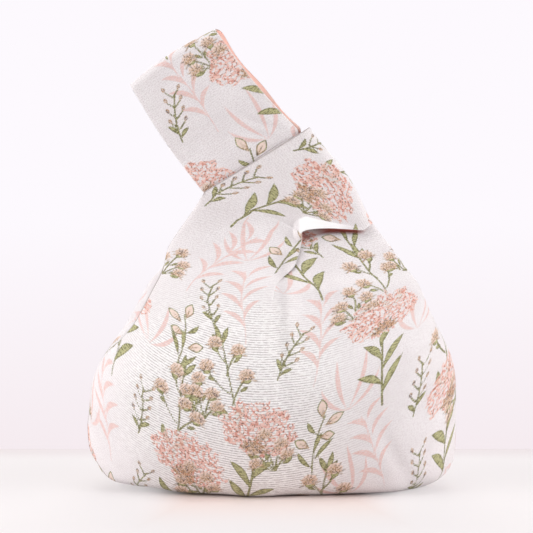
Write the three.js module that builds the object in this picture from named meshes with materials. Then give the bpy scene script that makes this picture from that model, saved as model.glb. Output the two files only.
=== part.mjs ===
// Japanese knot bag: a two-panel cloth pouch whose long handle is drawn through its short handle.
// Millimetres. +X is to the right of the front, +Y to the back, +Z up, and z = 0 is the table.
import * as THREE from 'three';

// Pouch sizes
const bodyWidth = 240;
const bodyDepth = 110;
const bellyHeight = 40;
const footWidth = 132;
const footDepth = 78;
const shoulderHeight = 82;
const shoulderEase = 24;

// Split: the bottom of the neckline, where each panel parts into two straps
const splitHeight = 125;
const splitWidth = 182;
const splitDepth = 68;
const splitShift = 5;

// Short handle: a flat collar that leans to the right
const collarX = 8.3;
const collarZ = 186.5;
const collarLean = 33;
const collarLength = 79;
const collarWidth = 70;
const necklineBow = 9;

// Long handle: goes up to the left through the collar
const handleWidth = 65;
const handleLean = 37.8;
const handleReach = 86;
const handleOffset = -3.3;
const foldHeight = 38;
const foldLength = 20;
const loopThickness = 16;
const stemTongue = 20;
const rootTongue = 4;
const rootWidth = 60;

// Cloth
const outerThick = 1;
const interliningThick = 0.8;
const liningThick = 0.6;
const clothGap = 0.3;
const slideGap = 0.4;
const innerGap = 3.6;

// Shape of the curves, without a unit
const cornerPower = 2.2;
const collarRise = 1.2;
const recessRise = 0.8;

const seam = clothGap / 2;
const strapThick = outerThick + clothGap + liningThick;
const rootDepth = innerGap / 2 + strapThick;
const stemDepth = rootDepth + slideGap + strapThick;
const collarDepth = stemDepth + slideGap + strapThick;
const loopDepth = loopThickness / 2;

const layers = {
  outer: { from: 0, to: outerThick, color: 0xe9e2e3, roughness: 0.85 },
  interlining: {
    from: outerThick + clothGap,
    to: outerThick + clothGap + interliningThick,
    color: 0xf2f0ec,
    roughness: 0.95,
  },
  strapLining: {
    from: outerThick + clothGap,
    to: strapThick,
    color: 0xf6b7a4,
    roughness: 0.7,
  },
  bodyLining: {
    from: outerThick + interliningThick + 2 * clothGap,
    to: outerThick + interliningThick + 2 * clothGap + liningThick,
    color: 0xf6b7a4,
    roughness: 0.7,
  },
};

const mix = THREE.MathUtils.lerp;
const step = THREE.MathUtils.smoothstep;

function mixPoint(a, b, f) {
  return [mix(a[0], b[0], f), mix(a[1], b[1], f)];
}

// Places a point of a leaning strap, across and along it, in the front view
function leaningPoint(origin, lean, across, along) {
  const a = THREE.MathUtils.degToRad(lean);
  return [
    origin[0] + across * Math.cos(a) - along * Math.sin(a),
    origin[1] + across * Math.sin(a) + along * Math.cos(a),
  ];
}

function collarPoint(across, along) {
  return leaningPoint([collarX, collarZ], collarLean, across, along);
}

const handleOrigin = collarPoint(handleOffset, collarWidth / 2);

function handlePoint(across, along) {
  return leaningPoint(handleOrigin, handleLean, across, along);
}

// Pouch section: how far the wide belly has closed in at a height, 0 at the belly and 1 at the split
function shoulderTurn(height) {
  const soft = (z) => z - shoulderHeight + Math.hypot(z - shoulderHeight, shoulderEase);
  return (soft(height) - soft(bellyHeight)) / (soft(splitHeight) - soft(bellyHeight));
}

function sectionHalf(foot, belly, split, height) {
  if (height < bellyHeight) {
    const drop = 1 - height / bellyHeight;
    const corner = (1 - drop ** cornerPower) ** (1 / cornerPower);
    return mix(foot, belly, corner) / 2;
  }
  return mix(belly, split, shoulderTurn(height)) / 2;
}

function sectionShift(height) {
  const rise = Math.max(0, height - bellyHeight) / (splitHeight - bellyHeight);
  return splitShift * rise * rise;
}

// One level of a pouch panel from the left seam to the right seam; spread draws the floor in to its seam
function pouchRow(height, spread, side) {
  const halfWidth = sectionHalf(footWidth, bodyWidth, splitWidth, height);
  const halfDepth = sectionHalf(footDepth, bodyDepth, splitDepth, height);
  const drawnIn = mix(footDepth / 4, 0, spread);
  return (u, inset) => {
    const turn = Math.PI * (1 - u);
    const lift = inset * Math.max(0, 1 - height / bellyHeight);
    return [
      sectionShift(height) + (halfWidth - inset - drawnIn) * Math.cos(turn),
      side * (seam + (halfDepth - inset - seam) * spread * Math.sin(turn)),
      height + lift,
    ];
  };
}

function pouchRows(side) {
  const floor = [0, 0.5, 1].map((spread) => pouchRow(0, spread, side));
  const corner = [0.03, 0.12, 0.3, 0.6].map((f) => pouchRow(bellyHeight * f, 1, side));
  const wall = [0, 0.25, 0.5, 0.75, 1].map((f) => {
    return pouchRow(mix(bellyHeight, splitHeight, f), 1, side);
  });
  return [...floor, ...corner, ...wall];
}

// One cross line of a strap between two points of the front view. Where open is 0, the strap meets
// the other side of the bag at the first point; where it is 1, the strap lies flat all across.
function strapRow(closing, free, depth, open, side) {
  return (u, inset) => {
    const rounded = Math.sqrt(1 - (1 - u) ** 2);
    const full = mix(rounded, 1, open);
    const pull = inset * (1 - open) * (1 - u) * Math.sign(free[0] - closing[0]);
    const [x, z] = mixPoint(closing, free, u);
    return [x + pull, side * (seam + (depth - inset - seam) * full), z];
  };
}

// Rows that turn a strap's end in to the seam it shares with the other side
function endRows(turns, line, depth, side) {
  return turns.map((f) => (u, inset) => {
    const radius = depth - inset - seam;
    const angle = (f * Math.PI) / 2;
    const [x, z] = line(u, radius * Math.sin(angle));
    return [x, side * (seam + radius * Math.cos(angle)), z];
  });
}

const strapFoot = splitHeight + clothGap;
const splitLeft = [splitShift - splitWidth / 2, strapFoot];
const splitRight = [splitShift + splitWidth / 2, strapFoot];

// Short handle: from the left shoulder to the flat collar and its folded end
function shortRows(side) {
  const half = collarLength / 2;
  const bend = half - collarDepth + seam;
  const notch = collarPoint(-half, collarWidth / 2);
  const lip = collarPoint(0, -0.3 * collarWidth);
  const bottom = [-seam, strapFoot];
  const bow = [(bottom[0] + lip[0]) / 2 + necklineBow, (bottom[1] + lip[1]) / 2];
  const neckline = new THREE.QuadraticBezierCurve(
    new THREE.Vector2(...bottom),
    new THREE.Vector2(...bow),
    new THREE.Vector2(...lip),
  );
  const shoulder = [0, 0.16, 0.33, 0.5, 0.66, 0.82, 0.92].map((f) => {
    const depth = mix(splitDepth / 2, collarDepth, f ** collarRise);
    const edge = neckline.getPoint(f).toArray();
    return strapRow(mixPoint(splitLeft, notch, f), edge, depth, step(f, 0.7, 1), side);
  });
  const lipEnd = collarPoint(bend, -collarWidth / 2);
  const flat = [0, 0.5, 1].map((f) => {
    const top = mixPoint(notch, collarPoint(bend, collarWidth / 2), f);
    return strapRow(top, mixPoint(lip, lipEnd, f), collarDepth, 1, side);
  });
  const endLine = (u, out) => collarPoint(bend + out, mix(0.5, -0.5, u) * collarWidth);
  return [...shoulder, ...flat, ...endRows([0.25, 0.5, 0.75, 1], endLine, collarDepth, side)];
}

// Long handle root: from the right shoulder up behind the short handle and into the collar
function rootRows(side) {
  const half = rootWidth / 2;
  const knee = mixPoint(collarPoint(collarLength / 2, -collarWidth / 2), splitRight, 0.08);
  const bottom = [strapThick + splitShift / 4, strapFoot];
  const inLeft = handlePoint(-half, -0.7 * collarWidth);
  const inRight = handlePoint(half, -0.86 * collarWidth);
  const shoulder = [0, 0.2, 0.4, 0.6, 0.8, 1].map((f) => {
    const depth = mix(splitDepth / 2, rootDepth + slideGap, f ** recessRise);
    return strapRow(mixPoint(splitRight, knee, f), mixPoint(bottom, inLeft, f), depth, 0, side);
  });
  const tongue = [0, 0.5, 1].map((f) => {
    const right = mixPoint(inRight, handlePoint(half, -rootTongue), f);
    const left = mixPoint(handlePoint(-half, -0.62 * collarWidth), handlePoint(-half, -rootTongue), f);
    return strapRow(right, left, rootDepth, 1, side);
  });
  return [...shoulder, ...tongue];
}

// Long handle, in its own frame: x across the strap, z along it from the collar's top edge
function handleRow(width, along, depth, side) {
  return strapRow([-width / 2, along], [width / 2, along], depth, 1, side);
}

const foldStart = foldHeight - foldLength / 2;
const foldEnd = foldHeight + foldLength / 2;

function stemRows(side) {
  return [-stemTongue, foldStart - seam].map((along) => {
    return handleRow(handleWidth, along, stemDepth, side);
  });
}

function foldRows(side) {
  return [0, 0.33, 0.67, 1].map((f) => {
    const along = mix(foldStart + seam, foldEnd - seam, f);
    return handleRow(handleWidth, along, mix(stemDepth, loopDepth, step(f, 0, 1)), side);
  });
}

function loopRows(side) {
  const bend = handleReach - loopDepth + seam;
  const endLine = (u, out) => [mix(-0.5, 0.5, u) * handleWidth, bend + out];
  const straight = handleRow(handleWidth, foldEnd + seam, loopDepth, side);
  return [straight, ...endRows([0, 0.2, 0.4, 0.6, 0.8, 1], endLine, loopDepth, side)];
}

// Closes the outer and inner face of a cloth layer into one solid
function clothGeometry(rows, columns, layer) {
  const stride = columns + 1;
  const sheet = stride * rows.length;
  const points = [];
  for (const inset of [layer.from, layer.to]) {
    for (const row of rows) {
      for (let column = 0; column <= columns; column += 1) {
        points.push(...row(column / columns, inset));
      }
    }
  }
  const index = [];
  const quad = (a, b, c, d) => index.push(a, b, c, a, c, d);
  for (let row = 0; row < rows.length - 1; row += 1) {
    for (let column = 0; column < columns; column += 1) {
      const a = row * stride + column;
      quad(a, a + 1, a + stride + 1, a + stride);
      quad(sheet + a, sheet + a + stride, sheet + a + stride + 1, sheet + a + 1);
    }
    const left = row * stride;
    const right = left + columns;
    quad(left, left + stride, sheet + left + stride, sheet + left);
    quad(right, sheet + right, sheet + right + stride, right + stride);
  }
  const last = sheet - stride;
  for (let column = 0; column < columns; column += 1) {
    quad(column, sheet + column, sheet + column + 1, column + 1);
    quad(last + column, last + column + 1, sheet + last + column + 1, sheet + last + column);
  }
  const geometry = new THREE.BufferGeometry();
  geometry.setAttribute('position', new THREE.Float32BufferAttribute(points, 3));
  geometry.setIndex(facingOut(points, index));
  geometry.computeVertexNormals();
  return geometry;
}

// Turns the triangles round if they enclose a negative volume
function facingOut(points, index) {
  const corner = (i) => new THREE.Vector3().fromArray(points, 3 * i);
  let volume = 0;
  for (let i = 0; i < index.length; i += 3) {
    const [a, b, c] = [corner(index[i]), corner(index[i + 1]), corner(index[i + 2])];
    volume += a.dot(b.cross(c));
  }
  return volume > 0 ? index : index.slice().reverse();
}

function addCloth(parent, name, rows, columns, layer) {
  const material = new THREE.MeshStandardMaterial({
    color: layer.color,
    roughness: layer.roughness,
    metalness: 0,
  });
  const mesh = new THREE.Mesh(clothGeometry(rows, columns, layer), material);
  mesh.name = name;
  parent.add(mesh);
}

const bag = new THREE.Group();
const handle = new THREE.Group();
handle.position.set(handleOrigin[0], 0, handleOrigin[1]);
handle.rotation.y = -THREE.MathUtils.degToRad(handleLean);
bag.add(handle);

for (const [face, side] of [['front', -1], ['back', 1]]) {
  const pouch = pouchRows(side);
  addCloth(bag, `outer_${face}_panel`, pouch, 14, layers.outer);
  addCloth(bag, `interlining_${face}`, pouch, 14, layers.interlining);
  addCloth(bag, `lining_${face}_panel`, pouch, 14, layers.bodyLining);
  const straps = [
    [bag, 'short_handle', shortRows(side), 8],
    [bag, 'long_handle_root', rootRows(side), 8],
    [handle, 'long_handle_stem', stemRows(side), 1],
    [handle, 'long_handle_fold', foldRows(side), 1],
    [handle, 'long_handle_loop', loopRows(side), 1],
  ];
  for (const [parent, name, rows, columns] of straps) {
    addCloth(parent, `${name}_${face}_outer`, rows, columns, layers.outer);
    addCloth(parent, `${name}_${face}_lining`, rows, columns, layers.strapLining);
  }
}

export default bag;
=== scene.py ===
"""Knot bag of floral jacquard: cloth pieces, finishes and studio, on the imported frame."""
import logging
import math
from dataclasses import dataclass, field, replace
from enum import Enum
from typing import Sequence

import bmesh
import bpy
import numpy as np
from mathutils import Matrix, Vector


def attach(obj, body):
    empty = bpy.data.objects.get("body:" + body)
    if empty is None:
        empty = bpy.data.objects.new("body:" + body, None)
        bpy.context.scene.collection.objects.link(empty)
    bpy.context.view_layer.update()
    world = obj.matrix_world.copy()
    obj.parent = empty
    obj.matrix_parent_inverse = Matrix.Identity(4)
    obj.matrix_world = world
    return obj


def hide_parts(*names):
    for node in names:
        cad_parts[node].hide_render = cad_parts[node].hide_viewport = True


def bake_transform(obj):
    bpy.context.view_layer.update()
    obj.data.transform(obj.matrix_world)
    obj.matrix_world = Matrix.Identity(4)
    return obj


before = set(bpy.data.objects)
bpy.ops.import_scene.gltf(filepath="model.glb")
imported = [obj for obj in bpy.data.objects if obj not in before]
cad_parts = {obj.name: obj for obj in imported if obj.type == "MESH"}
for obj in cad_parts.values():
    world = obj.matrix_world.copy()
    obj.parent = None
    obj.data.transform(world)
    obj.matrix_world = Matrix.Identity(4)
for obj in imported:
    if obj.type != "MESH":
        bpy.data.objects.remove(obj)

MM = 0.001
LOG = logging.getLogger("knot_bag")
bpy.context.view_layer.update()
# Points that the pouch is measured with, round it and up its wall
RING_POINTS = 2001
WALL_POINTS = 3001
# Scale of a wave texture with a pitch of one
WAVE_SCALE = 0.314
Array = np.ndarray
Pair = tuple[float, float]
Ramp = tuple[float, float, float, float]
Waves = tuple[float, float, float, float]
Colour = tuple[float, float, float, float]
Socket = bpy.types.NodeSocket


class Face(Enum):
    """The two faces of the bag, with the sign of their side along Y."""

    FRONT = -1.0
    BACK = 1.0

    @property
    def label(self) -> str:
        """Name used in the pieces of this face."""
        return self.name.lower()


# Where the plants start on each face's panel and strap, in millimetres across and along
PANEL_SHIFT = {Face.FRONT: (-14.0, 30.0), Face.BACK: (60.0, -20.0)}
STRAP_SHIFT = {Face.FRONT: (10.0, 18.0), Face.BACK: (96.0, 70.0)}


class Ink(Enum):
    """Yarn colours that the jacquard draws its plants with."""

    LEAF = "leaf"
    BLOOM = "bloom"
    FROND = "frond"
    BUD = "bud"
    POD = "pod"


class Trait(Enum):
    """Marks on the cloth's points: the lip's painted highlight, left without plants; turned in edges, pale
    with a painted highlight; sewn seams, dark with the painted shade of their crease; and lining seen in
    the slit, painted darker as its shade.
    """

    BARE = "bare"
    HEM = "hem"
    SEAM = "seam"
    SLIT = "slit"


def ease(low: float, high: float, value: Array) -> Array:
    """Smooth step of value from 0 at low to 1 at high."""
    t = np.clip((np.asarray(value, float) - low) / (high - low), 0.0, 1.0)
    return t * t * (3.0 - 2.0 * t)


def mix(a: Array, b: Array, f: Array) -> Array:
    """Linear mix of a and b."""
    return a + (b - a) * f


def bell(value: Array, at: float, reach: float) -> Array:
    """Soft bell of value: 1 at its place, fading over its reach."""
    return np.exp(-(((value - at) / reach) ** 2))


def round_edge(share: Array, power: Array) -> Array:
    """Rounded rise from 0 to 1 over a share; a higher power is squarer."""
    return (1.0 - (1.0 - share) ** power) ** (1.0 / power)


def crossed(x: Array, z: Array, lengths: Waves, first: float, second: float) -> Array:
    """Product of two crossing waves, with the length of each along x and z and their phases."""
    a, b, c, d = lengths
    return np.sin(x / a + z / b + first) * np.sin(x / c + z / d + second)


def turned(origin: Pair, lean: float, across: Array, along: Array) -> tuple[Array, Array]:
    """Front-view x and z of a point in a frame that leans to the left.

    Args:
        origin: x and z of the frame's middle.
        lean: its lean in degrees.
        across: places across it.
        along: places along it.

    Returns:
        The x and the z.
    """
    a = math.radians(lean)
    x = origin[0] + across * math.cos(a) - along * math.sin(a)
    z = origin[1] + across * math.sin(a) + along * math.cos(a)
    return x, z


def own_axes(du: Array, dv: Array, angle: float) -> tuple[Array, Array]:
    """Places across and along a mark that is turned to the left by an angle in degrees."""
    a = math.radians(angle)
    return du * math.cos(a) + dv * math.sin(a), -du * math.sin(a) + dv * math.cos(a)


def linear(code: str) -> Colour:
    """Linear colour of a six-digit sRGB code.

    Args:
        code: the colour as rrggbb.

    Returns:
        The linear red, green, blue and an alpha of 1.
    """
    parts = [int(code[i : i + 2], 16) / 255.0 for i in (0, 2, 4)]
    rgb = [p / 12.92 if p <= 0.04045 else ((p + 0.055) / 1.055) ** 2.4 for p in parts]
    return (rgb[0], rgb[1], rgb[2], 1.0)


def row_lengths(points: Array) -> Array:
    """Running length along each row of a grid, from its first column."""
    steps = np.linalg.norm(np.diff(points, axis=1), axis=2)
    return np.concatenate([np.zeros((len(points), 1)), np.cumsum(steps, axis=1)], axis=1)


def column_lengths(points: Array, column: int) -> Array:
    """Running length along one column of a grid, from its first row."""
    steps = np.linalg.norm(np.diff(points[:, column], axis=0), axis=1)
    return np.concatenate([[0.0], np.cumsum(steps)])


def strap_flat(grid: Array, centre: float, start: float, drift: float = 0.0, over: float = 1.0) -> Array:
    """Places of a strap's points on the flat cloth.

    Args:
        grid: the strap's points.
        centre: place of its middle line across the cloth.
        start: place of its first row along the cloth.
        drift: how far the middle line moves across.
        over: length of strap over which it drifts.

    Returns:
        Rows by columns by 2, across and along.
    """
    run = row_lengths(grid)
    rise = column_lengths(grid, grid.shape[1] // 2)[:, None]
    across = run - run[:, -1:] / 2.0 + centre + drift * ease(0.0, over, rise)
    return np.stack([across, np.broadcast_to(start + rise, across.shape)], axis=-1)


@dataclass(frozen=True)
class Layer:
    """One layer of cloth, in millimetres.

    Attributes:
        inset: how far inside the outer cloth it lies.
        step: spacing of its grid.
        trim: how far it stays inside a strap's edges.
    """

    inset: float
    step: float
    trim: float = 0.0

    def rows(self, length: float) -> int:
        """Number of grid rows over a length."""
        return int(length / self.step)


@dataclass
class Patch:
    """A grid of cloth points in millimetres, with its place on the flat cloth.

    Attributes:
        points: rows by columns by 3.
        flat: rows by columns by 2, millimetres across and along the cloth.
        traits: rows by columns, 0 to 1, for each trait that the patch has.
    """

    points: Array
    flat: Array
    traits: dict[Trait, Array]


@dataclass
class PouchShape:
    """Sizes of the filled pouch, in millimetres, with its seams pressed in or raised."""

    width: float = 240.0
    depth: float = 110.0
    belly: float = 40.0
    foot_width: float = 160.0
    foot_depth: float = 78.0
    shoulder: float = 82.0
    shoulder_ease: float = 24.0
    split: float = 125.0
    split_width: float = 182.0
    split_depth: float = 68.0
    split_shift: float = 5.0
    corner_power: float = 2.6
    girth_height: float = 70.0
    floor_rows: int = 4
    seam_swing: float = 0.3
    seam_swing_rows: Pair = (70.0, 112.0)
    seam_low_swing: float = 0.3
    seam_low_rows: Pair = (4.0, 34.0)
    seam_swing_reach: float = 1.1
    seam_ridge: float = 1.2
    seam_ridge_rows: Pair = (40.0, 66.0)
    # share at the right of the painted shade in the seams' crease
    seam_right: float = 0.35
    seam_dip: float = 1.5
    seam_reach: float = 1.2
    seam_columns: Pair = (0.35, 0.7)
    # width of the painted shade in the seams' crease
    seam_line: float = 0.6

    def turn(self, z: Array) -> Array:
        """Share of the way from the belly to the split at a height.

        Args:
            z: heights.

        Returns:
            Shares, eased round the shoulder.
        """

        def soft(h: Array) -> Array:
            """Height above the shoulder, eased in."""
            return h - self.shoulder + np.hypot(h - self.shoulder, self.shoulder_ease)

        low, high = soft(self.belly), soft(self.split)
        return (soft(z) - low) / (high - low)

    def half(self, foot: float, belly: float, split: float, z: Array) -> Array:
        """Half size of a level section.

        Args:
            foot: full size on the table.
            belly: full size at the belly.
            split: full size at the split.
            z: heights.

        Returns:
            Half sizes at the heights.
        """
        drop = np.clip(1.0 - z / self.belly, 0.0, 1.0)
        corner = (1.0 - drop**self.corner_power) ** (1.0 / self.corner_power)
        low = mix(foot, belly, corner) / 2.0
        high = mix(belly, split, self.turn(np.maximum(z, self.belly))) / 2.0
        return np.where(z < self.belly, low, high)

    def shift(self, z: Array) -> Array:
        """How far the section's middle lies to the right at a height."""
        rise = np.maximum(0.0, z - self.belly) / (self.split - self.belly)
        return self.split_shift * rise * rise

    def level(self, theta: Array, z: Array, spread: Array, inset: float, swing: float = 0.0) -> Array:
        """Points of one face at heights z, as x, depth and z.

        Args:
            theta: angle round the section, pi at the left seam and 0 at the right.
            z: heights, broadcast with theta.
            spread: 1 on the wall, down to 0 at the floor seam.
            inset: how far inside the outer cloth the layer lies.
            swing: sign of the left seam's move round the section, to the front.

        Returns:
            The points, with the depth counted outwards from the seam plane.
        """
        theta, z, spread = np.broadcast_arrays(theta, z, spread)
        wide = self.half(self.foot_width, self.width, self.split_width, z)
        deep = self.half(self.foot_depth, self.depth, self.split_depth, z)
        to_seam = np.minimum(theta, math.pi - theta) * deep
        low_left = (1.0 - ease(*self.seam_ridge_rows, z)) * (theta > math.pi / 2.0)
        dip = mix(self.seam_dip, -self.seam_ridge, low_left) * bell(to_seam, 0.0, self.seam_reach)
        wide = wide - inset - dip - (1.0 - spread) * self.foot_depth / 4.0
        high_swing = self.seam_swing * ease(*self.seam_swing_rows, z)
        low_swing = self.seam_low_swing * (1.0 - ease(*self.seam_low_rows, z))
        by_seam = ease(math.pi - self.seam_swing_reach, math.pi, theta)
        theta = theta + swing * (high_swing + low_swing) * by_seam
        x = self.shift(z) + wide * np.cos(theta)
        lift = inset * np.clip(1.0 - z / self.belly, 0.0, 1.0)
        return np.stack([x, (deep - inset) * spread * np.sin(theta), z + lift], axis=-1)


@dataclass
class CollarShape:
    """Sizes of the short handle: its rise from the split, flat collar, lip and folded end, in millimetres.

    Attributes:
        rise: length of the strap from the split to the collar.
        leave: shares of the rise between which it leaves the pouch's section.
        crease: shares of the rise where it turns flat, at the seam and at the neckline.
        top_drop: how far the top edge lies below the full width, at both ends.
        corner_drop: how far the lower right corner hangs below the full width.
        lip_fade: length over which the lip runs out to the right.
        peep: how far the lining hangs out under the lower edge.
        peep_flare: share of the lip's flare that the lining takes.
    """

    x: float = 8.3
    z: float = 186.5
    lean: float = 33.0
    length: float = 79.0
    width: float = 70.0
    depth: float = 8.3
    rise: float = 82.0
    leave: Pair = (0.14, 0.5)
    neck_bow: float = 9.0
    crease: Pair = (0.62, 1.02)
    crease_turn: float = 9.0
    edge_power: Pair = (2.2, 5.0)
    flat_from: float = 0.84
    lip_x: float = 18.5
    lip_z: float = 167.5
    lip_flare: float = 6.2
    lip_reach: float = 9.5
    lip_end: float = 1.6
    lip_fade: float = 15.0
    lip_full: float = 3.0
    lip_soft: float = 0.3
    lip_round: Pair = (1.5, 1.3)
    # mask of the lip's painted highlight: plain near-white, without plants
    bare_soft: float = 0.15
    bare_size: Pair = (0.1, 0.3)
    bare_past: Pair = (-2.5, -1.0)
    bare_rise: Pair = (-1.0, 0.0)
    corner_drop: float = 6.8
    top_drop: Pair = (0.8, 2.6)
    side_bow: float = 3.8
    side_bow_power: Pair = (1.2, 1.5)
    end_rows: int = 5
    edge_rise: float = 2.0
    edge_rise_power: float = 0.6
    peep: float = 0.2
    peep_flare: float = 0.05

    def place(self, across: Array, along: Array) -> tuple[Array, Array]:
        """Front-view x and z of a point across and along the collar."""
        return turned((self.x, self.z), self.lean, across, along)


@dataclass
class RootShape:
    """Sizes of the long handle's root, from the right shoulder into the collar, in millimetres.

    Attributes:
        rise: length from the split to the collar.
        leave: shares of the rise between which it leaves the pouch's section.
        gap: how far it lies under the short strap's neckline.
        tongue: length inside the collar.
        ledge_depth: depth to which it falls back under the lip.
        slit_rows: heights about the lip between which the lining's colour, painted darker as the slit's
            shade, starts to show.
        slit_left: places about the lip's left end where the slit opens.
        slit_right: places about the lip's right end where it shuts.
    """

    half: float = 30.0
    depth: float = 3.7
    front: float = 5.6
    rise: float = 64.0
    leave: Pair = (0.12, 0.42)
    knee: float = 0.08
    inner_start: float = -49.0
    power: Pair = (2.0, 3.5)
    settle: float = 0.85
    sink: float = 0.3
    sink_rows: Pair = (0.55, 0.95)
    gap: float = 1.6
    gap_rows: Pair = (0.15, 0.6)
    slope: float = 0.06
    reach: float = 24.0
    near_from: float = 0.2
    near_over: float = 8.0
    tongue: float = 46.0
    tongue_right: Pair = (-60.0, -4.0)
    tongue_left: Pair = (-43.0, -4.0)
    tongue_turn: float = 0.2
    ledge_depth: float = 2.3
    ledge_rows: Pair = (-3.4, 0.2)
    slit_rows: Pair = (-2.4, -1.0)
    slit_fade: Pair = (4.0, 8.0)
    slit_drop: float = 3.8
    slit_left: Pair = (-1.0, 3.0)
    slit_right: Pair = (-14.0, -4.0)


@dataclass
class HandleShape:
    """The long handle above the collar: corners in the front view and depths, in millimetres.

    Attributes:
        reach: length above the collar.
        tongue: length inside the collar.
        tongue_in: how far the tongue's left and right edges stay inside the collar.
        tongue_rows: places along it between which the edges come out.
        slide: length that the slide draws into the collar.
        held_rows: places past the slide between which the collar's hold ends.
        back_offset: how far the back strap stands out at the right.
        edge_share: share across from which the right edge is squeezed.
        crease_turn: direction of the soft creases, across and along.
    """

    foot_left: Pair = (-45.7, 193.7)
    foot_right: Pair = (15.6, 234.2)
    top_left: Pair = (-92.4, 262.6)
    top_right: Pair = (-37.2, 298.2)
    origin: Pair = (-13.53, 214.06)
    lean: float = 37.8
    width: float = 66.0
    reach: float = 84.0
    depth: float = 5.9
    bulge: float = 1.0
    ripple: float = 0.5
    ripple_turns: Pair = (3.0 * math.pi, 4.0)
    closing: float = 5.0
    closing_inset: float = 0.6
    closing_run: float = 9.0
    closing_rows: int = 6
    tongue: float = 18.0
    tongue_in: Pair = (4.5, 3.5)
    tongue_rows: Pair = (-10.5, 0.5)
    side_bow: Pair = (1.92, 2.16)
    crown: float = 2.6
    crown_from: float = 0.55
    slide: float = 22.0
    loose_over: float = 18.0
    held_rows: Pair = (-4.0, 14.0)
    back_offset: float = 2.9
    back_wave: float = 0.26
    back_wave_at: float = 0.43
    back_wave_length: float = 0.57
    back_curl: float = 3.6
    back_curl_share: float = 0.9
    edge_squeeze: float = 1.6
    edge_share: float = 0.93
    left_share: float = 0.07
    edge_pinch: float = 4.4
    pinch_share: float = 0.97
    edge_curl: float = 2.2
    curl_share: float = 0.96
    crease_depth: float = 0.85
    crease_pitch: float = 8.1
    crease_turn: Pair = (0.85, 0.53)
    crease_at: Pair = (50.0, -15.5)
    crease_reach: Pair = (8.0, 10.0)
    crease_start: float = 53.2
    seam_gap: float = 0.02
    strap_gap: float = 0.1
    flat_centre: float = 58.0
    flat_start: float = 290.0

    def place(self, across: Array, along: Array) -> tuple[Array, Array]:
        """Front-view x and z of a point across and along the handle's own line."""
        return turned(self.origin, self.lean, across, along)


@dataclass(frozen=True)
class Swell:
    """A push of the cloth to the right about one height, in millimetres."""

    height: float
    reach: float
    push: float

    def at(self, z: Array) -> Array:
        """The push at a height."""
        return self.push * bell(z, self.height, self.reach)


@dataclass(frozen=True)
class Tuck:
    """A soft hollow low in the filled cloth, in millimetres.

    Attributes:
        place: its place across.
        reach: how far it spreads to each side.
        rows: heights between which it runs out.
        depth: how deep it is.
        wall: depths of the wall between which it starts, so that the seams stay.
        slant: how far it moves across for each millimetre below its level.
        level: height at which it crosses its place.
    """

    place: float
    reach: float
    rows: Pair
    depth: float
    wall: Pair = (8.0, 38.0)
    slant: float = 0.0
    level: float = 0.0

    def press(self, x: Array, deep: Array, z: Array) -> Array:
        """Depths with the hollow pressed in."""
        line = bell(x - self.slant * (self.level - z), self.place, self.reach)
        return deep - self.depth * line * (1.0 - ease(*self.rows, z)) * ease(*self.wall, deep)


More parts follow.
